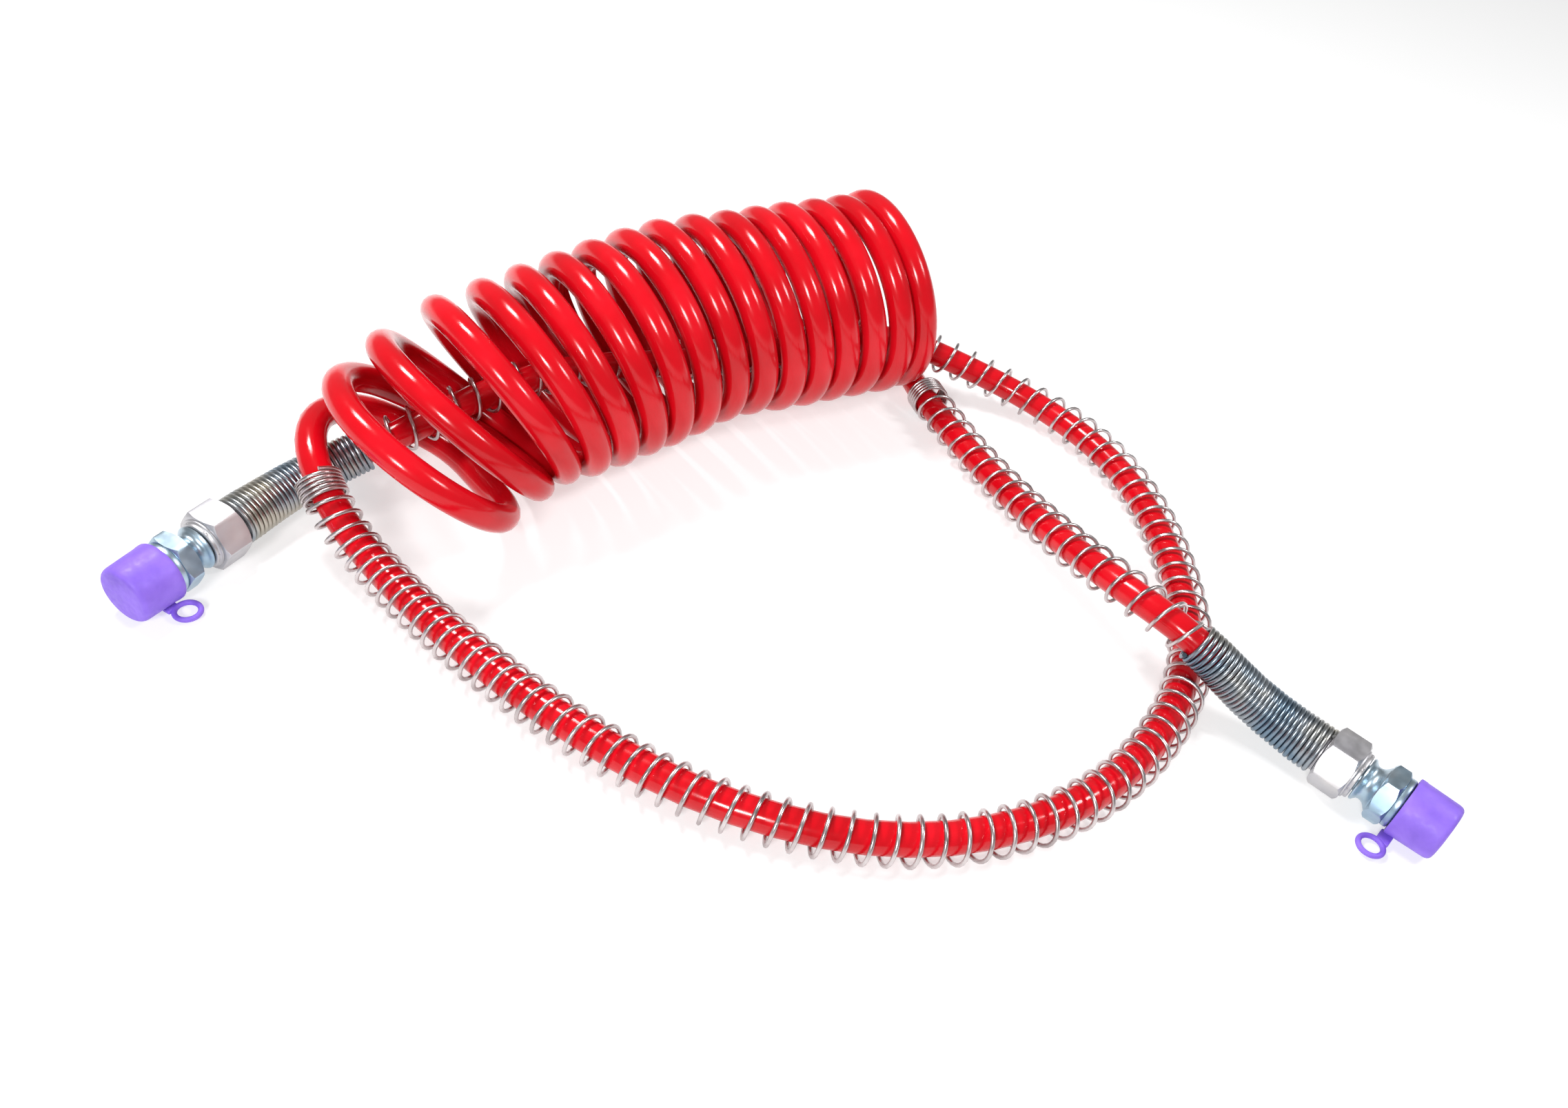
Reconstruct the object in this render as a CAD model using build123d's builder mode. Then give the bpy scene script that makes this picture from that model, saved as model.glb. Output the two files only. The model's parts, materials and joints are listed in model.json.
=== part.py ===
"""Coiled air brake hose with a sprung lead and a swivel pipe fitting at each end.

Millimetres. The hose lies on the ground, z = 0. The coil's axis runs along X, and the
origin is on the ground, midway between the two end fittings.
"""
import math
import os

from build123d import *

os.makedirs("parts", exist_ok=True)

# Hose
HOSE_RADIUS = 12.7 / 2
HOSE_BORE_RADIUS = 9.4 / 2
COIL_RADIUS = 45.5  # to the hose's centre line
SHORTEST_ARC = 5 * 2 * HOSE_RADIUS  # leads; the coil and its last turn are tighter

# Armour: an open-pitch wire spring round each lead, held here as a plain sleeve
ARMOUR_RADIUS = 19.4 / 2
ARMOUR_WIRE = 1.7

# The turns of the coil: (turn, x, y, lean of the turn towards -X, turn of its axis about Z)
TIGHT_TURNS = [
    (0, 181, 170, 0, -7),
    (4, 115, 172, 7, 6),
    (8, 48, 173, 7, 8),
    (11, -3, 167, 17, 8),
]
LOOSE_TURNS = [
    (11, -3, 167, 17, 8),
    (12.5, -25, 167, 35, 4),
    (13.5, -45, 166, 42, 6),
    (14.5, -61, 162, 56, 8),
    (15.5, -79, 154, 53, -2),
]

# Routes of the two leads, from the coil to the last point before the fitting
LONG_ROUTE = [
    (-43, 154, 6.4),
    (-48, 180, 7),
    (-65, 199, 13),
    (-88, 203, 25),
    (-109, 190, 36),
    (-120, 166, 38),
    (-120, 143, 26),
    (-113, 120, 12),
    (-101, 72, 10),
    (-78, 7, 10),
    (-46, -49, 10),
    (3, -92, 10),
    (63, -109, 10),
    (119, -102, 10),
    (171, -76, 10),
    (207, -33, 10),
    (232, 13, 10),
    (242, 57, 10),
    (236, 102, 10),
    (212, 133, 18),
    (175, 162, 31),
    (119, 171, 26),
    (63, 178, 27),
    (13, 186, 33),
    (-32, 182, 34),
    (-77, 177, 25),
    (-109, 178, 16),
]
SHORT_ROUTE = [
    (182, 170, 6.4),
    (181, 139, 10),
    (175, 94, 10),
    (168, 46, 12),
    (157, -2, 24),
    (150, -42, 35),
    (157, -78, 35),
]
LONG_ARMOUR_RUNS = (5, 25)  # the armour goes from the middle of one run to the middle of another
SHORT_ARMOUR_RUNS = (1, 5)
ARC_SHARE = 0.45  # of the shorter run at a corner

# End fittings: where the hexagon's back face stands, and which way the fitting points
FITTING_HEIGHT = 12.7
LONG_END = ("long_end", (-156, 159.5, FITTING_HEIGHT), -151)
SHORT_END = ("short_end", (182.5, -136, FITTING_HEIGHT), -76)

# Stations along a fitting's axis, from the hexagon's back face towards the cap
LAST_CORNER = -28
TAIL_START = -9
HOSE_STOP = 4
BODY_HEX_END = 13
COLLAR_END = 15.5
ADAPTOR_START = 5.6
NECK_START = 16
ADAPTOR_HEX_START = 23.2
ADAPTOR_HEX_END = 30.2
THREAD_START = 33
THREAD_END = 49
CAP_START = 33.1
CAP_END = 51.4

BODY_HEX_FLATS = 23.8
ADAPTOR_HEX_FLATS = 22.2
TAIL_RADIUS = 8.55
SEAT_RADIUS = 7.4
SWIVEL_RADIUS = 6.0
PASSAGE_RADIUS = 4.0
COLLAR_RADIUS = 10.0
THREAD_RADIUS = 10.67  # 1/2 inch taper pipe thread, at its large end
CAP_RADIUS = 12.7
RING_PLACES = {"long_end": (36.5, 14.5), "short_end": (32.5, -17.7)}  # along, beside
GUARD_RADIUS = 19 / 2
GUARD_BORE_RADIUS = 13.4 / 2
GUARD_END_RADIUS = 21.5 / 2
RUNNING_GAP = 0.05


# ---------------------------------------------------------------- placing

def direction(end):
    angle = math.radians(end[2])
    return Vector(math.cos(angle), math.sin(angle), 0)


def station(end, along):
    return Vector(*end[1]) + direction(end) * along


def fitting_axis(end):
    return Axis(Vector(*end[1]), direction(end))


def long_section(end):
    """Plane through the axis: local X runs along the fitting, local Y is up."""
    way = direction(end)
    return Plane(origin=end[1], x_dir=way, z_dir=(way.Y, -way.X, 0))


def cross_section(end, along):
    way = direction(end)
    return Plane(origin=station(end, along), x_dir=(way.Y, -way.X, 0), z_dir=way)


def ring_plane(turn):
    """Plane of one turn, which leans over but still rests on the ground."""
    _, x, y, lean, swing = turn
    lean, swing = math.radians(lean), math.radians(swing)
    ahead = Vector(math.cos(swing), math.sin(swing), 0)
    axis = ahead * math.cos(lean) + Vector(0, 0, math.sin(lean))
    height = COIL_RADIUS * math.cos(lean) + HOSE_RADIUS
    return Plane(origin=(x, y, height), x_dir=(-math.sin(swing), math.cos(swing), 0), z_dir=axis)


# ---------------------------------------------------------------- hose

def corner_radii(points):
    """As large an arc at each corner as the two runs there allow."""
    radii = []
    for before, here, after in zip(points, points[1:], points[2:]):
        first = Vector(*here) - Vector(*before)
        second = Vector(*after) - Vector(*here)
        half_turn = math.radians(first.get_angle(second)) / 2
        radii.append(ARC_SHARE * min(first.length, second.length) / math.tan(half_turn))
    return radii


def middle(points, run):
    return (Vector(*points[run]) + Vector(*points[run + 1])) / 2


def full_route(route, end):
    return route + [tuple(station(end, LAST_CORNER)), tuple(station(end, HOSE_STOP))]


def tube(points, radii, outer, inner):
    with BuildPart() as made:
        with BuildLine():
            path = FilletPolyline(*points, radius=radii)
        with BuildSketch(Plane(origin=path @ 0, z_dir=path % 0)):
            Circle(outer)
            Circle(inner, mode=Mode.SUBTRACT)
        sweep(path=path)
    section = math.pi * (outer ** 2 - inner ** 2)
    return made.part, path.length, section


def hose_lead(route, end):
    points = full_route(route, end)
    radii = corner_radii(points)
    made, length, section = tube(points, radii, HOSE_RADIUS, HOSE_BORE_RADIUS)
    print(f"{end[0]} lead {length:.0f} mm, arcs", [round(radius) for radius in radii])
    print(f"  tighter than {SHORTEST_ARC:.0f}:", [round(r) for r in radii if r < SHORTEST_ARC])
    print(f"  volume {made.volume:.0f}, section times length {section * length:.0f}")
    return made


def armour(route, end, runs):
    points = full_route(route, end)
    first, last = runs
    stretch = [middle(points, first)] + points[first + 1:last + 1] + [middle(points, last)]
    radii = corner_radii(points)[first:last]
    made, _, _ = tube(stretch, radii, ARMOUR_RADIUS, ARMOUR_RADIUS - ARMOUR_WIRE)
    return made


def coil(turns):
    with BuildPart() as made:
        for turn in turns:
            with BuildSketch(ring_plane(turn)):
                Circle(COIL_RADIUS + HOSE_RADIUS)
        loft(ruled=True)
        for turn in turns:
            with BuildSketch(ring_plane(turn)):
                Circle(COIL_RADIUS - HOSE_RADIUS)
        loft(ruled=True, mode=Mode.SUBTRACT)
    return made.part


# ---------------------------------------------------------------- fittings

def spring_guard(route, end, last_run):
    """Close-wound strain relief: it follows the hose, then grips the body's tail."""
    points = full_route(route, end)
    stretch = [middle(points, last_run)] + points[last_run + 1:-1] + [station(end, TAIL_START - 1)]
    radii = corner_radii(points)[last_run:]
    with BuildPart() as made:
        with BuildLine():
            path = FilletPolyline(*stretch, radius=radii)
        with BuildSketch(Plane(origin=path @ 0, z_dir=path % 0)):
            Circle(GUARD_RADIUS)
            Circle(GUARD_BORE_RADIUS, mode=Mode.SUBTRACT)
        sweep(path=path)
        with BuildSketch(cross_section(end, TAIL_START - 1)):
            Circle(GUARD_END_RADIUS)
            Circle(GUARD_BORE_RADIUS, mode=Mode.SUBTRACT)
        extrude(amount=1 - RUNNING_GAP)
        with BuildSketch(cross_section(end, TAIL_START - RUNNING_GAP)):
            Circle(GUARD_END_RADIUS)
            Circle(TAIL_RADIUS, mode=Mode.SUBTRACT)
        extrude(amount=RUNNING_GAP - TAIL_START)
    return made.part


def turned(end, outline, mode=Mode.ADD):
    """Add or cut a turned shape, given as (along, radius) corners."""
    with BuildSketch(long_section(end)) as profile:
        with BuildLine():
            Polyline(*outline, close=True)
        make_face()
    revolve(profile.sketch, axis=fitting_axis(end), mode=mode)


def chamfered_hex(end, start, length, flats):
    """Hexagon bar with its corners turned back at both faces."""
    corner = flats / math.sqrt(3)
    face, slope = flats / 2 + 0.3, 1.2
    with BuildSketch(cross_section(end, start)) as profile:
        RegularPolygon(radius=flats / 2, side_count=6, major_radius=False)
    extrude(profile.sketch, amount=length)
    outline = [
        (start, 0), (start, face), (start + slope, corner), (start + length - slope, corner),
        (start + length, face), (start + length, 0),
    ]
    turned(end, outline, mode=Mode.INTERSECT)


def swivel_body(end):
    with BuildPart() as made:
        chamfered_hex(end, 0, BODY_HEX_END, BODY_HEX_FLATS)
        turned(end, [(TAIL_START, 0), (TAIL_START, TAIL_RADIUS), (1, TAIL_RADIUS), (1, 0)])
        turned(end, [
            (12, 0), (12, COLLAR_RADIUS + 0.8), (13.8, COLLAR_RADIUS + 0.8), (14.2, COLLAR_RADIUS),
            (15, COLLAR_RADIUS), (COLLAR_END, COLLAR_RADIUS - 0.5), (COLLAR_END, 0),
        ])
        turned(end, [(-10, 0), (-10, SEAT_RADIUS), (4.5, SEAT_RADIUS), (4.5, 0)], Mode.SUBTRACT)
        turned(end, [(4, 0), (4, PASSAGE_RADIUS), (6, PASSAGE_RADIUS), (6, 0)], Mode.SUBTRACT)
        turned(end, [(5.5, 0), (5.5, SWIVEL_RADIUS), (17, SWIVEL_RADIUS), (17, 0)], Mode.SUBTRACT)
        turned(end, [(8, 5), (8, 7.2), (9.2, 7.2), (9.2, 5)], Mode.SUBTRACT)
    return made.part


def clamp_sleeve(end):
    with BuildPart() as made:
        turned(end, [(-8, HOSE_RADIUS), (-8, 7), (-7, SEAT_RADIUS), (HOSE_STOP, SEAT_RADIUS),
                     (HOSE_STOP, HOSE_RADIUS)])
    return made.part


def tube_insert(end):
    bore, flange = PASSAGE_RADIUS - 0.1, 7.2
    with BuildPart() as made:
        turned(end, [(-12, bore), (-12, HOSE_BORE_RADIUS - 0.3), (-11, HOSE_BORE_RADIUS),
                     (HOSE_STOP, HOSE_BORE_RADIUS), (HOSE_STOP, flange), (4.45, flange),
                     (4.45, bore)])
    return made.part


def pipe_adaptor(end):
    stem = SWIVEL_RADIUS - RUNNING_GAP
    with BuildPart() as made:
        chamfered_hex(end, ADAPTOR_HEX_START, ADAPTOR_HEX_END - ADAPTOR_HEX_START, ADAPTOR_HEX_FLATS)
        turned(end, [(ADAPTOR_START, 0), (ADAPTOR_START, stem), (NECK_START + 1, stem),
                     (NECK_START + 1, 0)])
        turned(end, [(NECK_START, 0), (NECK_START, 9.2), (16.6, 9.6), (17.4, 9), (18.2, 7.8),
                     (19.6, 7.5), (21.4, 8.2), (22.6, 9.6), (ADAPTOR_HEX_START + 1, 10.4),
                     (ADAPTOR_HEX_START + 1, 0)])
        turned(end, [(ADAPTOR_HEX_END - 1, 0), (ADAPTOR_HEX_END - 1, 10.9), (32.6, 10.9),
                     (THREAD_START, 10.6), (THREAD_START, THREAD_RADIUS),
                     (THREAD_END - 1.2, THREAD_RADIUS - 0.5), (THREAD_END, 9.2), (THREAD_END, 0)])
        turned(end, [(0, 0), (0, PASSAGE_RADIUS), (60, PASSAGE_RADIUS), (60, 0)], Mode.SUBTRACT)
        turned(end, [(8, 5.2), (8, 7), (9.2, 7), (9.2, 5.2)], Mode.SUBTRACT)
        turned(end, [(12, 4.95), (12, 7), (14, 7), (14, 4.95)], Mode.SUBTRACT)
    return made.part


def retaining_ring(end):
    """Snap ring that keeps the adaptor's stem in the body; split on one side."""
    with BuildPart() as made:
        turned(end, [(8.05, 5.3), (8.05, 7.1), (9.15, 7.1), (9.15, 5.3)])
        with BuildSketch(cross_section(end, 7)):
            with Locations((6, 0)):
                Rectangle(4, 1.5)
        extrude(amount=4, mode=Mode.SUBTRACT)
    return made.part


def o_ring(end):
    with BuildPart() as made:
        with BuildSketch(long_section(end)):
            with Locations((13, 5.46)):
                Circle(0.5)
        revolve(axis=fitting_axis(end))
    return made.part


def dust_cap(end):
    """Slip-on cap with a finger ring that lies on the ground beside its mouth."""
    ring_along, beside = RING_PLACES[end[0]]
    ring_outer, ring_inner, ring_low, ring_high = 6.0, 3.6, 1.0, 3.2
    way = direction(end)
    flat = Plane(origin=(*tuple(station(end, 0))[:2], ring_low), x_dir=way, z_dir=(0, 0, 1))
    web_start, web_end = math.copysign(6.2, beside), beside - math.copysign(2, beside)
    with BuildPart() as made:
        turned(end, [(CAP_START, 0), (CAP_START, CAP_RADIUS), (CAP_END - 1.4, CAP_RADIUS - 0.6),
                     (CAP_END - 0.4, CAP_RADIUS - 1.2), (CAP_END, CAP_RADIUS - 2.2), (CAP_END, 0)])
        turned(end, [(CAP_START - 1, 0), (CAP_START - 1, 11), (49.4, 10.5), (49.4, 0)],
               Mode.SUBTRACT)
        with BuildSketch(flat):
            with Locations((ring_along, beside)):
                Circle(ring_outer)
            with Locations((ring_along + 3, (web_start + web_end) / 2)):
                Rectangle(5, abs(web_end - web_start))
            with Locations((ring_along, beside)):
                Circle(ring_inner, mode=Mode.SUBTRACT)
        extrude(amount=ring_high - ring_low)
    return made.part


# ---------------------------------------------------------------- assembly

pieces = {
    "coil_tight_turns": coil(TIGHT_TURNS),
    "coil_loose_turns": coil(LOOSE_TURNS),
    "long_lead_hose": hose_lead(LONG_ROUTE, LONG_END),
    "short_lead_hose": hose_lead(SHORT_ROUTE, SHORT_END),
    "long_lead_armour": armour(LONG_ROUTE, LONG_END, LONG_ARMOUR_RUNS),
    "short_lead_armour": armour(SHORT_ROUTE, SHORT_END, SHORT_ARMOUR_RUNS),
    "long_end_spring_guard": spring_guard(LONG_ROUTE, LONG_END, LONG_ARMOUR_RUNS[1]),
    "short_end_spring_guard": spring_guard(SHORT_ROUTE, SHORT_END, SHORT_ARMOUR_RUNS[1]),
}
for fitting in (LONG_END, SHORT_END):
    for make in (swivel_body, clamp_sleeve, tube_insert, pipe_adaptor, retaining_ring, o_ring, dust_cap):
        pieces[f"{fitting[0]}_{make.__name__}"] = make(fitting)

for name, piece in pieces.items():
    piece.label = name
    export_step(piece, f"parts/{name}.step")
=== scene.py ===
"""Coiled air brake hose: the looks of each piece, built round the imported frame. Metres."""
import json
import math

import bmesh
import bpy
from mathutils import Matrix, Vector


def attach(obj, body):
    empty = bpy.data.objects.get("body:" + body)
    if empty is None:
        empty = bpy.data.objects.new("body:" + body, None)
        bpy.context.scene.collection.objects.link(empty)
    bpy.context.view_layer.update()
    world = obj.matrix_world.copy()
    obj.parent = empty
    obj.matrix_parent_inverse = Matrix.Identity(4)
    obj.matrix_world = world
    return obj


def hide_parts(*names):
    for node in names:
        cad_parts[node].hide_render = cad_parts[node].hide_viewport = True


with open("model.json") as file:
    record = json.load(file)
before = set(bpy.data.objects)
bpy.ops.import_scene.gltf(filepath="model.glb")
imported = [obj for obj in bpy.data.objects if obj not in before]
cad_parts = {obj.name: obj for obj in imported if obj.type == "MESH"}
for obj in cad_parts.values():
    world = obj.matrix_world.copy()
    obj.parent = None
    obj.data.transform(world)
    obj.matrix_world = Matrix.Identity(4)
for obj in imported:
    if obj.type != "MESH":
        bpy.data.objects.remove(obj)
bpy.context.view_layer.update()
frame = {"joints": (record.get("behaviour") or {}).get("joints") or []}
bpy.ops.object.select_all(action="DESELECT")


# ---------------------------------------------------------------- hose
# One length of half-inch red nylon tube, glossy and slightly see-through. It is wound hot on a
# mandrel into sixteen left-hand turns, which spread and lean over where the long lead leaves
# them, and its straight ends are the two leads. Each end is clamped inside a fitting.
HOSE_WIDTH = 0.0127
COIL_RADIUS = 0.0447
POINTS_PER_TURN = 16
FIRST_TURN, LAST_TURN = -0.5, 15.5
# Along a fitting's axis from its hexagon's back face, where the hose ends and last bends
HOSE_STOP = 0.004
LAST_CORNER = -0.028
ANCHOR_DEPTH = 0.010  # the swivel joint's own place on that axis
ENDS = ("short_end", "long_end")

# turn, x, y, lean of the turn towards -X, turn of its axis about Z
TURNS = [
    (-0.5, 0.1835, 0.173, 12, -5),
    (1, 0.1612, 0.171, 11.5, -3.5),
    (3, 0.130, 0.174, 13, -3),
    (5, 0.0995, 0.176, 14, -1),
    (7, 0.066, 0.179, 15, 3),
    (9, 0.030, 0.1715, 15, 6),
    (10, 0.015, 0.1695, 19, 6),
    (11, -0.0015, 0.167, 22, 6),
    (12, -0.0185, 0.164, 24, 9),
    (13, -0.0367, 0.1625, 28, 12),
    (14, -0.055, 0.161, 41.5, 13),
    (15, -0.0732, 0.152, 49.5, 9),
    (15.5, -0.084, 0.149, 50, 4),
]
LONG_ROUTE = [
    (-0.050, 0.151, 0.0064),
    (-0.0535, 0.180, 0.0065),
    (-0.069, 0.200, 0.012),
    (-0.088, 0.203, 0.025),
    (-0.109, 0.190, 0.036),
    (-0.120, 0.166, 0.038),
    (-0.120, 0.143, 0.026),
    (-0.113, 0.120, 0.012),
    (-0.101, 0.072, 0.010),
    (-0.078, 0.007, 0.010),
    (-0.046, -0.049, 0.010),
    (0.003, -0.092, 0.010),
    (0.063, -0.109, 0.010),
    (0.119, -0.102, 0.010),
    (0.171, -0.076, 0.010),
    (0.207, -0.033, 0.010),
    (0.232, 0.013, 0.010),
    (0.242, 0.057, 0.010),
    (0.236, 0.102, 0.010),
    (0.212, 0.133, 0.018),
    (0.175, 0.162, 0.031),
    (0.119, 0.171, 0.026),
    (0.063, 0.178, 0.027),
    (0.013, 0.186, 0.033),
    (-0.032, 0.182, 0.034),
    (-0.077, 0.177, 0.025),
    (-0.109, 0.178, 0.016),
]
SHORT_ROUTE = [
    (0.193, 0.160, 0.0064),
    (0.183, 0.134, 0.0085),
    (0.175, 0.094, 0.010),
    (0.168, 0.046, 0.012),
    (0.157, -0.002, 0.024),
    (0.150, -0.042, 0.035),
    (0.157, -0.078, 0.035),
]


def fitting_place(end):
    """Stands a shape made along +Z on a fitting's axis, with 0 at the hexagon's back face."""
    swivel = next(joint for joint in frame["joints"] if joint["name"] == end + "_swivel")
    way = Vector(swivel["axis"]).normalized()
    back = Vector(swivel["pos_m"]) - way * ANCHOR_DEPTH
    up = Vector((0, 0, 1))
    turn = Matrix((up, way.cross(up), way)).transposed().to_4x4()
    return Matrix.Translation(back) @ turn


def on_axis(end, along):
    return fitting_place(end) @ Vector((0, 0, along))


def at_turn(turn, column):
    """A column of TURNS at any turn, passing smoothly through the listed values."""
    rows = TURNS
    k = max(i for i in range(len(rows) - 1) if rows[i][0] <= turn or i == 0)

    def slope(i):
        low, high = max(i - 1, 0), min(i + 1, len(rows) - 1)
        return (rows[high][column] - rows[low][column]) / (rows[high][0] - rows[low][0])

    step = rows[k + 1][0] - rows[k][0]
    t = (turn - rows[k][0]) / step
    start, end = rows[k][column], rows[k + 1][column]
    return (
        start * (1 + 2 * t) * (1 - t) ** 2 + end * t * t * (3 - 2 * t)
        + step * slope(k) * t * (1 - t) ** 2 - step * slope(k + 1) * t * t * (1 - t)
    )


def control_radius(radius, steps):
    """A spline runs a little inside its control points, so a round turn's points stand further out."""
    return radius / (0.75 + 0.25 * math.cos(2 * math.pi / steps))


def coil_point(turn):
    x, y, lean, swing = (at_turn(turn, column) for column in (1, 2, 3, 4))
    lean, swing = math.radians(lean), math.radians(swing)
    ahead = Vector((math.cos(swing), math.sin(swing), 0))
    front = Vector((math.sin(swing), -math.cos(swing), 0))
    top = Vector((0, 0, math.cos(lean))) - ahead * math.sin(lean)
    middle = Vector((x, y, COIL_RADIUS * math.cos(lean) + HOSE_WIDTH / 2))
    radius = control_radius(COIL_RADIUS, POINTS_PER_TURN)
    angle = 2 * math.pi * turn
    return middle + radius * (math.cos(angle) * top + math.sin(angle) * front)


def spline_curve(name, points, width, around, along):
    """A round wire or tube on a smooth spline with these control points."""
    data = bpy.data.curves.new(name, "CURVE")
    data.dimensions = "3D"
    data.resolution_u = along
    spline = data.splines.new("NURBS")
    spline.points.add(len(points) - 1)
    for point, place in zip(spline.points, points):
        point.co = (*place, 1)
    spline.order_u = 3
    spline.use_endpoint_u = True
    data.bevel_depth = width / 2
    data.bevel_resolution = around // 4
    data.use_fill_caps = True
    piece = bpy.data.objects.new(name, data)
    bpy.context.collection.objects.link(piece)
    return piece


def centre_line(piece):
    """The points that a curve runs through, read from it with its thickness off."""
    thickness = piece.data.bevel_depth
    piece.data.bevel_depth = 0
    bpy.context.view_layer.update()
    line = bpy.data.meshes.new_from_object(piece.evaluated_get(bpy.context.evaluated_depsgraph_get()))
    points = [vertex.co.copy() for vertex in line.vertices]
    bpy.data.meshes.remove(line)
    piece.data.bevel_depth = thickness
    return points


coil_steps = round((LAST_TURN - FIRST_TURN) * POINTS_PER_TURN)
coil_points = [coil_point(FIRST_TURN + step / POINTS_PER_TURN) for step in range(1, coil_steps)]
hose_points = [
    on_axis("short_end", HOSE_STOP), on_axis("short_end", LAST_CORNER), *reversed(SHORT_ROUTE),
    *coil_points,
    *LONG_ROUTE, on_axis("long_end", LAST_CORNER), on_axis("long_end", HOSE_STOP),
]
hose = spline_curve("hose", hose_points, HOSE_WIDTH, 24, 4)
hose_line = centre_line(hose)


def node_material(name, **settings):
    """A material whose shader's plain sockets have these values, and its node tree and shader."""
    material = bpy.data.materials.new(name)
    material.use_nodes = True
    tree = material.node_tree
    shader = tree.nodes["Principled BSDF"]
    for socket, value in settings.items():
        shader.inputs[socket.replace("_", " ")].default_value = value
    return material, tree, shader


def noise(tree, scale, detail=4, stretch=(1, 1, 1), where=None):
    """Noise in metres, so a scale of 500 has features of about 2 mm; where is a local attribute."""
    if where:
        source = tree.nodes.new("ShaderNodeAttribute")
        source.attribute_name = where
        place = source.outputs["Vector"]
    else:
        place = tree.nodes.new("ShaderNodeTexCoord").outputs["Object"]
    mapping = tree.nodes.new("ShaderNodeMapping")
    mapping.inputs["Scale"].default_value = stretch
    texture = tree.nodes.new("ShaderNodeTexNoise")
    texture.inputs["Scale"].default_value = scale
    texture.inputs["Detail"].default_value = detail
    tree.links.new(place, mapping.inputs["Vector"])
    tree.links.new(mapping.outputs["Vector"], texture.inputs["Vector"])
    return texture.outputs["Fac"]


def colours(tree, value, stops):
    """A colour ramp from this value: (position, colour) stops."""
    ramp = tree.nodes.new("ShaderNodeValToRGB")
    while len(ramp.color_ramp.elements) < len(stops):
        ramp.color_ramp.elements.new(0.5)
    for element, (position, colour) in zip(ramp.color_ramp.elements, stops):
        element.position = position
        element.color = (*colour, 1)
    tree.links.new(value, ramp.inputs["Fac"])
    return ramp.outputs["Color"]


def ranged(tree, value, low, high):
    """This value's middle range spread from low to high."""
    spread = tree.nodes.new("ShaderNodeMapRange")
    spread.inputs["From Min"].default_value = 0.35
    spread.inputs["From Max"].default_value = 0.65
    spread.inputs["To Min"].default_value = low
    spread.inputs["To Max"].default_value = high
    tree.links.new(value, spread.inputs["Value"])
    return spread.outputs["Result"]


def bumped(tree, shader, value, height, strength=1.0):
    """Relief of this height in metres, added over any relief there already."""
    bump = tree.nodes.new("ShaderNodeBump")
    bump.inputs["Strength"].default_value = strength
    bump.inputs["Distance"].default_value = height
    tree.links.new(value, bump.inputs["Height"])
    if shader.inputs["Normal"].links:
        tree.links.new(shader.inputs["Normal"].links[0].from_socket, bump.inputs["Normal"])
    tree.links.new(bump.outputs["Normal"], shader.inputs["Normal"])


red_nylon, tree, shader = node_material("red nylon", IOR=1.5, Specular_IOR_Level=0.36)
reds = [(0.3, (0.50, 0.002, 0.007)), (0.55, (0.61, 0.003, 0.010)), (0.75, (0.68, 0.006, 0.016))]
tree.links.new(colours(tree, noise(tree, 30, 5), reds), shader.inputs["Base Color"])
tree.links.new(ranged(tree, noise(tree, 220, 6), 0.13, 0.2), shader.inputs["Roughness"])
bumped(tree, shader, noise(tree, 90, 3), 0.0002, 0.15)
bumped(tree, shader, noise(tree, 1500, 3), 0.00002, 0.4)
hose.data.materials.append(red_nylon)
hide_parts("coil_tight_turns", "coil_loose_turns", "long_lead_hose", "short_lead_hose")
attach(hose, "hose")


# ---------------------------------------------------------------- armour
# A plated steel spring round each lead, slid on before the fitting, which keeps the hose off the
# ground and off sharp edges. Its turns stand well apart, and close up where it ends.
ARMOUR_WIDTH = 0.0194
ARMOUR_WIRE = 0.0017
SHORT_ARMOUR_PITCH = 0.0108
TIGHT_PITCH, SLACK_PITCH, SLACK_AFTER = 0.0066, 0.0102, 0.6  # along the long lead
CLOSED_END = 0.010  # where the free end's turns nearly touch
CLOSED_PITCH = ARMOUR_WIRE * 1.08
LOOP_MIDDLE = (0.05, 0.04)  # of the loop that the long lead makes on the ground, from above
RIDES_LOW = 0.001
ARMOUR_STEPS = 12  # points a turn


def line_lengths(line):
    lengths = [0.0]
    for before, here in zip(line, line[1:]):
        lengths.append(lengths[-1] + (here - before).length)
    return lengths


HOSE_LENGTHS = line_lengths(hose_line)


def length_near(place, low=0.0, high=math.inf):
    """How far along the hose the point nearest to this place is."""
    near = [k for k, length in enumerate(HOSE_LENGTHS) if low <= length <= high]
    return HOSE_LENGTHS[min(near, key=lambda k: (hose_line[k] - Vector(place)).length)]


def hose_frames(lengths):
    """At each length, the point, and two directions across the hose that turn with it, not about it."""
    ways = [(after - before).normalized() for before, after in zip(hose_line, hose_line[2:])]
    ways = [ways[0], *ways, ways[-1]]
    frames = []
    k = 0
    side = None
    for length in lengths:
        while k < len(hose_line) - 2 and HOSE_LENGTHS[k + 1] < length:
            k += 1
        share = (length - HOSE_LENGTHS[k]) / (HOSE_LENGTHS[k + 1] - HOSE_LENGTHS[k])
        place = hose_line[k].lerp(hose_line[k + 1], share)
        way = ways[k].lerp(ways[k + 1], share).normalized()
        side = side or Vector((0, 0, 1))
        side = (side - way * side.dot(way)).normalized()
        frames.append((place, side, way.cross(side)))
    return frames


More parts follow.
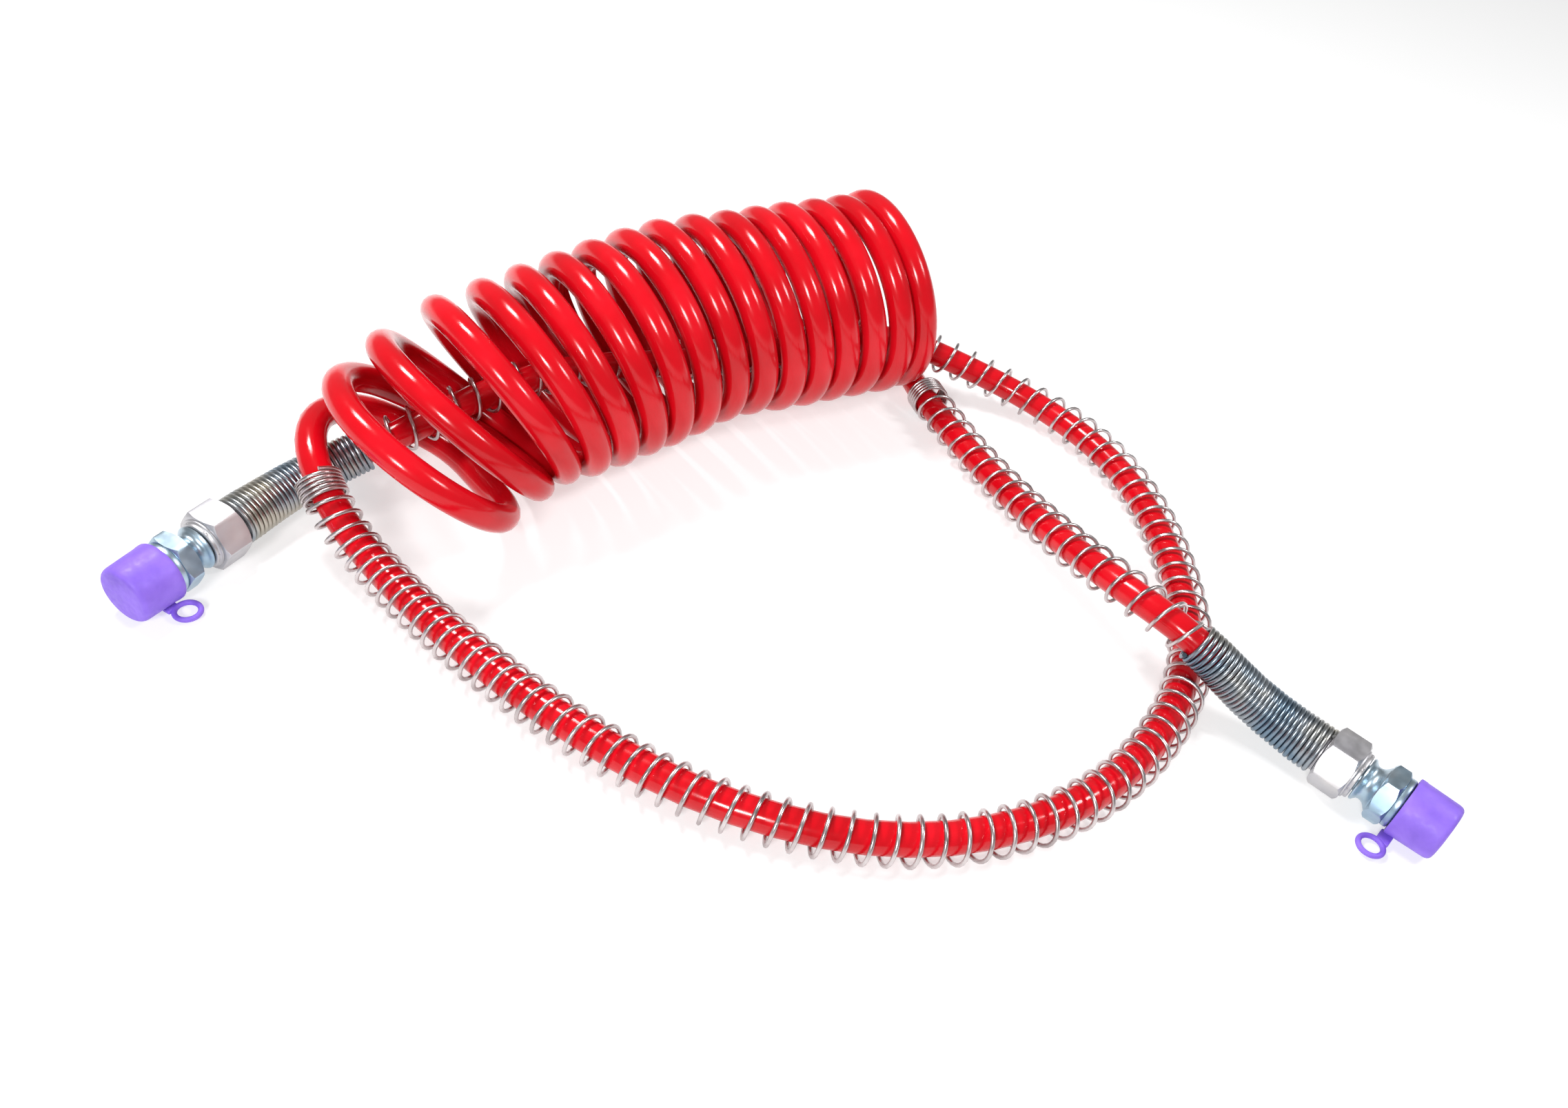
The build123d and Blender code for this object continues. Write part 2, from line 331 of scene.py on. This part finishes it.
def wound_wire(name, start, end, wire, radius_at, pitch_at, steps, hand=1, rides_low=0.0):
    """A wire wound round the hose, or hanging a little low round it, from one length to another."""
    lengths, turns = [], []
    length, turn = start, 0.0
    while length < end:
        lengths.append(length)
        turns.append(turn)
        length += pitch_at(length) / steps
        turn += 1 / steps
    points = []
    for (place, side, other), turn, length in zip(hose_frames(lengths), turns, lengths):
        radius = control_radius(radius_at(length), steps)
        angle = 2 * math.pi * turn * hand
        if rides_low:
            lowest = radius + wire / 2
            outward = Vector((place.x - LOOP_MIDDLE[0], place.y - LOOP_MIDDLE[1], 0)).normalized()
            place = place + outward * rides_low
            place.z = max(place.z - rides_low / 2, lowest)
        points.append(place + radius * (math.cos(angle) * side + math.sin(angle) * other))
    return spline_curve(name, points, wire, 8, 2)


GUARD_LENGTH = 0.071
PAST_GUARD = GUARD_LENGTH + HOSE_STOP  # the armour keeps this far from the hose's ends
LONG_ARMOUR_FREE_END = (-0.120, 0.152, 0.032)
whole = HOSE_LENGTHS[-1]
short_free_end = length_near(SHORT_ROUTE[1], high=0.5) - 0.001
long_free_end = length_near(LONG_ARMOUR_FREE_END, low=whole - 1.4)
lead_armour = {}
for lead, start, end in (
    ("short_lead", PAST_GUARD, short_free_end),
    ("long_lead", long_free_end, whole - PAST_GUARD),
):
    free_end = end if lead == "short_lead" else start

    def armour_pitch(length, free_end=free_end, start=start):
        # Pushed along the lead, the spring is slacker the further it is from its free end
        away = abs(length - free_end)
        if away < CLOSED_END:
            return CLOSED_PITCH
        if free_end != start:
            return SHORT_ARMOUR_PITCH
        return TIGHT_PITCH + (SLACK_PITCH - TIGHT_PITCH) * min(away / SLACK_AFTER, 1)

    lead_armour[lead] = wound_wire(
        lead + "_armour_spring", start, end, ARMOUR_WIRE,
        lambda length: (ARMOUR_WIDTH - ARMOUR_WIRE) / 2, armour_pitch, ARMOUR_STEPS,
        hand=-1, rides_low=RIDES_LOW)


def plated(name, stops, low, high, where=None, marks=None, scale=70, pits=0.15):
    """A metal finish: blotched tint, uneven shine, fine pitting and, where given, lathe marks."""
    material, tree, shader = node_material(name, Metallic=1.0)
    tint, shine = noise(tree, scale, 3, where=where), noise(tree, scale * 3, 4, where=where)
    tree.links.new(colours(tree, tint, stops), shader.inputs["Base Color"])
    tree.links.new(ranged(tree, shine, low, high), shader.inputs["Roughness"])
    bumped(tree, shader, noise(tree, 1800, 2, where=where), 0.00001, pits)
    if marks:
        bumped(tree, shader, noise(tree, 3500, 2, marks, where), 0.00001, 0.3)
    return material


armour_steel = plated(
    "armour steel",
    [(0.3, (0.42, 0.37, 0.37)), (0.5, (0.58, 0.52, 0.52)), (0.7, (0.70, 0.65, 0.65))], 0.25, 0.38)
for lead, spring in lead_armour.items():
    spring.data.materials.append(armour_steel)
    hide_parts(lead + "_armour")
    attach(spring, "hose")


# ---------------------------------------------------------------- spring guards
# A close-wound spring of thicker wire at each end, which stops the hose kinking where it goes
# into its fitting. It widens towards the fitting and its last turns are pressed over the tail.
GUARD_WIRE = 0.0021
GUARD_PITCH = GUARD_WIRE * 1.02
GUARD_NARROW = 0.0186
GUARD_WIDE = 0.0215
GUARD_STEPS = 20  # points a turn
GRIP = 0.014  # the part that holds the tail, all one width
CLEAR_OF_BODY = 0.0012  # from the hexagon's back face to the middle of its nearest turn
guard_steel = plated(
    "guard steel",
    [(0.36, (0.17, 0.24, 0.31)), (0.5, (0.33, 0.36, 0.39)), (0.64, (0.45, 0.42, 0.36))],
    0.3, 0.38, pits=0.02, scale=40)
for end, tail in (("short_end", 0.0), ("long_end", whole)):
    inward = 1 if end == "short_end" else -1

    def guard_radius(length, tail=tail):
        share = min(max(abs(length - tail) - GRIP, 0) / (GUARD_LENGTH - GRIP), 1)
        return (GUARD_WIDE + (GUARD_NARROW - GUARD_WIDE) * share ** 0.7 - GUARD_WIRE) / 2

    low, high = sorted((tail + inward * (HOSE_STOP + CLEAR_OF_BODY), tail + inward * GUARD_LENGTH))
    guard = wound_wire(
        end + "_guard_spring", low, high, GUARD_WIRE, guard_radius,
        lambda length: GUARD_PITCH, GUARD_STEPS)
    guard.data.materials.append(guard_steel)
    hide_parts(end + "_spring_guard")
    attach(guard, "hose")


# ---------------------------------------------------------------- swivel bodies
# Zinc-plated steel nut, cut from 15/16 inch hexagon bar. Its tail holds the hose, and the thin
# collar at its front is staked over the adaptor's stem, which can turn in it.
BODY_FLATS = 23.8  # mm
STAKE_MARKS = 6


def as_piece(name, shape):
    mesh = bpy.data.meshes.new(name)
    shape.to_mesh(mesh)
    shape.free()
    piece = bpy.data.objects.new(name, mesh)
    bpy.context.collection.objects.link(piece)
    return piece


def select_only(piece):
    bpy.ops.object.select_all(action="DESELECT")
    bpy.context.view_layer.objects.active = piece
    piece.select_set(True)


def turned(name, outline, steps=72):
    """A closed solid of revolution about Z, from (along, radius) corners in mm."""
    shape = bmesh.new()
    corners = [shape.verts.new((radius / 1000, 0, along / 1000)) for along, radius in outline]
    open_ended = outline[0][1] == 0 and outline[-1][1] == 0
    edges = [shape.edges.new(pair) for pair in zip(corners, corners[1:])]
    if not open_ended:
        edges.append(shape.edges.new((corners[-1], corners[0])))
    bmesh.ops.spin(
        shape, geom=corners + edges, cent=(0, 0, 0), axis=(0, 0, 1), angle=2 * math.pi, steps=steps,
        use_merge=True, use_duplicate=False)
    bmesh.ops.remove_doubles(shape, verts=shape.verts, dist=1e-7)
    bmesh.ops.recalc_face_normals(shape, faces=shape.faces)
    return as_piece(name, shape)


def apply_modifiers(piece):
    select_only(piece)
    for modifier in list(piece.modifiers):
        bpy.ops.object.modifier_apply(modifier=modifier.name)


def hexagon(name, start, end, flats, bore):
    """A hexagonal ring whose corners are turned back at both faces, with softened edges; mm."""
    face, corner = flats / 2 + 0.25, flats / math.sqrt(3)
    ring = turned(name, [
        (start, bore), (start, face - 0.3), (start + 0.12, face), (start + 1.35, corner + 0.1),
        (end - 1.35, corner + 0.1), (end - 0.12, face), (end, face - 0.3), (end, bore)], 96)
    bpy.ops.mesh.primitive_cylinder_add(
        vertices=6, radius=corner / 1000, depth=(end - start + 4) / 1000,
        location=(0, 0, (start + end) / 2000))
    bar = bpy.context.object
    bpy.ops.object.transform_apply(location=True, rotation=True, scale=True)
    soften = bar.modifiers.new("corners", "BEVEL")
    soften.width = 0.0003
    soften.segments = 2
    apply_modifiers(bar)
    cut = ring.modifiers.new("flats", "BOOLEAN")
    cut.operation = "INTERSECT"
    cut.solver = "EXACT"
    cut.object = bar
    apply_modifiers(ring)
    bpy.data.objects.remove(bar)
    return ring


def joined(name, pieces):
    bpy.ops.object.select_all(action="DESELECT")
    for piece in pieces:
        piece.select_set(True)
    bpy.context.view_layer.objects.active = pieces[0]
    bpy.ops.object.join()
    pieces[0].name = name
    return pieces[0]


def stand(piece, end, material, node, body):
    """Keeps the piece's own coordinates for its finish, then puts it on its fitting."""
    local = piece.data.attributes.new("local", "FLOAT_VECTOR", "POINT")
    for item, vertex in zip(local.data, piece.data.vertices):
        item.vector = vertex.co
    piece.data.transform(fitting_place(end))
    piece.data.materials.clear()
    piece.data.materials.append(material)
    select_only(piece)
    bpy.ops.object.shade_smooth_by_angle(angle=math.radians(32))
    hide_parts(end + "_" + node)
    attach(piece, body)


body_zinc = plated(
    "body zinc", [(0.3, (0.44, 0.43, 0.46)), (0.5, (0.55, 0.54, 0.56)), (0.72, (0.62, 0.60, 0.60))],
    0.42, 0.52, "local", (0.02, 0.02, 1), 60)
for end in ENDS:
    core = turned(end + "_body_core", [
        (-9, 7.4), (-9, 8.3), (-8.75, 8.55), (-0.6, 8.55), (-0.2, 9.4), (0.4, 9.6),
        (12.4, 9.6), (12.7, 10.6), (13.1, 10.85), (13.6, 10.75), (13.9, 10.15), (14.2, 9.95),
        (14.9, 10), (15.3, 9.85), (15.5, 9.5), (15.5, 6), (9.2, 6), (9.2, 7.2), (8, 7.2),
        (8, 6), (5.5, 6), (5.5, 4), (4.5, 4), (4.5, 7.4)])
    nut = hexagon(end + "_body_hex", 0, 13, BODY_FLATS, 8.6)
    marks = []
    for step in range(STAKE_MARKS):
        # Left where the collar was pressed in over the stem
        bpy.ops.mesh.primitive_uv_sphere_add(segments=12, ring_count=8, radius=0.0006)
        mark = bpy.context.object
        turn = Matrix.Rotation(math.radians(360 / STAKE_MARKS * step + 30), 4, "Z")
        on_collar = Matrix.Translation((0.0098, 0, 0.0146))
        mark.data.transform(turn @ on_collar @ Matrix.Diagonal((0.7, 1.6, 1, 1)))
        marks.append(mark)
    body = joined(end + "_swivel_nut", [core, nut, *marks])
    stand(body, end, body_zinc, "swivel_body", "hose")


# ---------------------------------------------------------------- pipe adaptors
# Blue-white zinc-plated steel with a 1/2 inch taper pipe thread, a 7/8 inch hexagon and a waisted
# neck. Its stem is held in the swivel body by the retaining ring, and the cap hides the thread.
ADAPTOR_FLATS = 22.2  # mm
THREAD_PITCH = 25.4 / 14
THREAD_TAPER = 1 / 32  # of the length, in radius


def pipe_thread(name, start, end, large, depth):
    """The ridge of a right-hand taper thread, as one closed spiral rib; mm."""
    steps = 32
    count = int((end - start) / THREAD_PITCH * steps)
    shape = bmesh.new()
    rows = []
    for k in range(count + 1):
        angle, along = 2 * math.pi * k / steps, start + THREAD_PITCH * k / steps
        narrowed = large - (along - start) * THREAD_TAPER
        run_out = depth * max(0, 1 - min(k, count - k) / (steps / 2))
        crest, root = narrowed - run_out, narrowed - depth - 0.25
        across, aside = math.cos(angle) / 1000, math.sin(angle) / 1000
        rows.append([
            shape.verts.new((radius * across, radius * aside, (along + shift) / 1000))
            for shift, radius in ((0.02, root), (0.78, crest), (1.02, crest), (1.79, root))])
    for row, after in zip(rows, rows[1:]):
        for i in range(4):
            shape.faces.new((row[i], row[(i + 1) % 4], after[(i + 1) % 4], after[i]))
    shape.faces.new(rows[0])
    shape.faces.new(reversed(rows[-1]))
    bmesh.ops.recalc_face_normals(shape, faces=shape.faces)
    return as_piece(name, shape)


adaptor_zinc = plated(
    "adaptor zinc", [(0.28, (0.26, 0.38, 0.50)), (0.5, (0.42, 0.54, 0.63)), (0.72, (0.60, 0.66, 0.70))],
    0.30, 0.42, "local", (0.02, 0.02, 1), 55)
for end in ENDS:
    core = turned(end + "_adaptor_core", [
        (5.6, 4), (5.6, 5.7), (5.9, 5.95), (8, 5.95), (8, 5.2), (9.2, 5.2), (9.2, 5.95),
        (12, 5.95), (12, 4.95), (14, 4.95), (14, 5.95), (16, 5.95), (16, 9), (16.25, 9.4),
        (16.7, 9.55), (17.2, 9.2), (17.7, 8.5), (18.4, 7.75), (19.3, 7.5), (20.2, 7.6),
        (21.1, 8.05), (21.9, 8.8), (22.6, 9.7), (23.1, 10.3), (23.4, 10.4), (30, 10.4),
        (30.4, 10.85), (30.9, 10.95), (32.1, 10.95), (32.6, 10.75), (32.9, 10.2), (33.2, 9.25),
        (48, 8.8), (48.9, 8.5), (49, 8.2), (49, 4.6), (48.4, 4)])
    nut = hexagon(end + "_adaptor_hex", 23.2, 30.2, ADAPTOR_FLATS, 9.6)
    rib = pipe_thread(end + "_thread", 33.3, 47, 10.6, 1.3)
    adaptor = joined(end + "_pipe_thread_adaptor", [core, nut, rib])
    stand(adaptor, end, adaptor_zinc, "pipe_adaptor", end + "_adaptor")


# ---------------------------------------------------------------- dust caps
# Soft violet moulded plastic, slipped over the pipe thread to keep dirt out. The finger ring is
# moulded on beside its mouth, and pulls it off.
RING_DROP = -0.0106  # from the fitting's axis down to the finger ring
RING_PLACES = {"short_end": (32.5, -17.7), "long_end": (36.5, 14.5)}  # along, beside; mm
violet, tree, shader = node_material("violet plastic", Specular_IOR_Level=0.35, Subsurface_Weight=0.12)
shader.inputs["Subsurface Radius"].default_value = (0.0015, 0.0008, 0.002)
violets = [(0.3, (0.19, 0.10, 0.58)), (0.5, (0.24, 0.13, 0.68)), (0.75, (0.30, 0.17, 0.76))]
tree.links.new(colours(tree, noise(tree, 90, 4, where="local"), violets), shader.inputs["Base Color"])
tree.links.new(ranged(tree, noise(tree, 500, 5, where="local"), 0.42, 0.6), shader.inputs["Roughness"])
bumped(tree, shader, noise(tree, 1400, 4, where="local"), 0.00004, 0.5)
for end, (along, beside) in RING_PLACES.items():
    shell = turned(end + "_cap_shell", [
        (51.4, 0), (51.4, 9.9), (51.25, 10.7), (50.9, 11.3), (50.4, 11.75), (49.7, 12.05),
        (48.8, 12.2), (36, 12.55), (35.2, 12.7), (33.5, 12.7), (33.2, 12.55), (33.1, 12.2),
        (33.1, 11.3), (33.3, 11.05), (34, 10.95), (49.1, 10.5), (49.4, 10.2), (49.4, 0)])
    bpy.ops.mesh.primitive_torus_add(
        major_radius=0.0048, minor_radius=0.0011, major_segments=56, minor_segments=16)
    ring = bpy.context.object
    flat = Matrix.Rotation(math.radians(90), 4, "Y")
    ring.data.transform(Matrix.Translation((RING_DROP, -beside / 1000, along / 1000)) @ flat)
    inner, outer = math.copysign(6.4, beside), beside - math.copysign(4.2, beside)
    bpy.ops.mesh.primitive_cube_add(size=1)
    web = bpy.context.object
    web.data.transform(
        Matrix.Translation((RING_DROP, -(inner + outer) / 2000, (along + 2.4) / 1000))
        @ Matrix.Diagonal((0.002, abs(outer - inner) / 1000, 0.0052, 1)))
    soften = web.modifiers.new("soften", "BEVEL")
    soften.width = 0.0006
    soften.segments = 3
    apply_modifiers(web)
    cap = joined(end + "_slip_on_cap", [shell, ring, web])
    stand(cap, end, violet, "dust_cap", end + "_cap")


# ---------------------------------------------------------------- parts inside the fittings
# Turned brass sleeve and insert clamp the tube, a sprung steel ring keeps the stem in, and a
# nitrile ring seals it. They keep their machined shapes and show only from the ends.
brass = plated(
    "turned brass",
    [(0.3, (0.52, 0.33, 0.09)), (0.5, (0.72, 0.50, 0.17)), (0.7, (0.84, 0.64, 0.30))], 0.2, 0.35,
    marks=(1, 1, 1))
sprung = plated(
    "sprung steel",
    [(0.3, (0.12, 0.12, 0.13)), (0.5, (0.24, 0.24, 0.25)), (0.7, (0.38, 0.37, 0.36))], 0.3, 0.5)
nitrile, tree, shader = node_material("nitrile rubber", Specular_IOR_Level=0.3)
blacks = [(0.3, (0.008, 0.008, 0.009)), (0.7, (0.026, 0.025, 0.025))]
tree.links.new(colours(tree, noise(tree, 400, 5), blacks), shader.inputs["Base Color"])
tree.links.new(ranged(tree, noise(tree, 900, 5), 0.5, 0.75), shader.inputs["Roughness"])
bumped(tree, shader, noise(tree, 2500, 3), 0.00001, 0.5)
for end in ENDS:
    for node, finish, slot in (
        ("clamp_sleeve", brass, "brass"), ("tube_insert", brass, "brass"),
        ("retaining_ring", sprung, "spring_steel"), ("o_ring", nitrile, "seal_rubber"),
    ):
        part = bpy.data.objects[end + "_" + node]
        part.data.materials.clear()
        part.data.materials.append(finish)


# ---------------------------------------------------------------- camera, floor and light
# A plain white sweep, lit softly from above, seen from the front left.
CAMERA_PLACE = (-0.2132, -0.2547, 0.3693)
LIT_POINT = Vector((0.05, 0.05, 0))
camera_data = bpy.data.cameras.new("camera")
camera_data.sensor_width = 36
camera_data.lens = 28.4835
camera = bpy.data.objects.new("camera", camera_data)
bpy.context.collection.objects.link(camera)
heading, down, roll = math.radians(50), math.radians(41.63), math.radians(10.94)
look = Vector((
    math.cos(heading) * math.cos(down), math.sin(heading) * math.cos(down), -math.sin(down)))
level = Vector((math.sin(heading), -math.cos(heading), 0))
over = level.cross(look)
right = level * math.cos(roll) + over * math.sin(roll)
above = over * math.cos(roll) - level * math.sin(roll)
aim = Matrix((right, above, -look)).transposed().to_4x4()
camera.matrix_world = Matrix.Translation(CAMERA_PLACE) @ aim
bpy.context.scene.camera = camera

bpy.ops.mesh.primitive_plane_add(size=40, location=(0, 0, 0))
floor = bpy.context.object
floor.name = "floor"
white, tree, shader = node_material(
    "floor white", Base_Color=(0.45, 0.45, 0.45, 1), Roughness=1.0, Specular_IOR_Level=0.0,
    Emission_Color=(1, 1, 1, 1), Emission_Strength=0.6)
floor.data.materials.append(white)

world = bpy.data.worlds.new("studio")
bpy.context.scene.world = world
world.use_nodes = True
world.node_tree.nodes["Background"].inputs["Color"].default_value = (1, 1, 1, 1)
world.node_tree.nodes["Background"].inputs["Strength"].default_value = 0.25
for name, place, size, power in (
    ("key", (-0.2, 0.7, 1.2), 0.35, 16),
    ("front", (-0.85, -0.6, 0.75), 0.26, 11),
    ("right", (0.9, -0.6, 1.1), 0.3, 9),
):
    light_data = bpy.data.lights.new(name, "AREA")
    light_data.size = size
    light_data.energy = power
    light = bpy.data.objects.new(name, light_data)
    aim = (LIT_POINT - Vector(place)).to_track_quat("-Z", "Y").to_matrix().to_4x4()
    light.matrix_world = Matrix.Translation(place) @ aim
    bpy.context.collection.objects.link(light)
bpy.context.scene.view_settings.view_transform = "Standard"
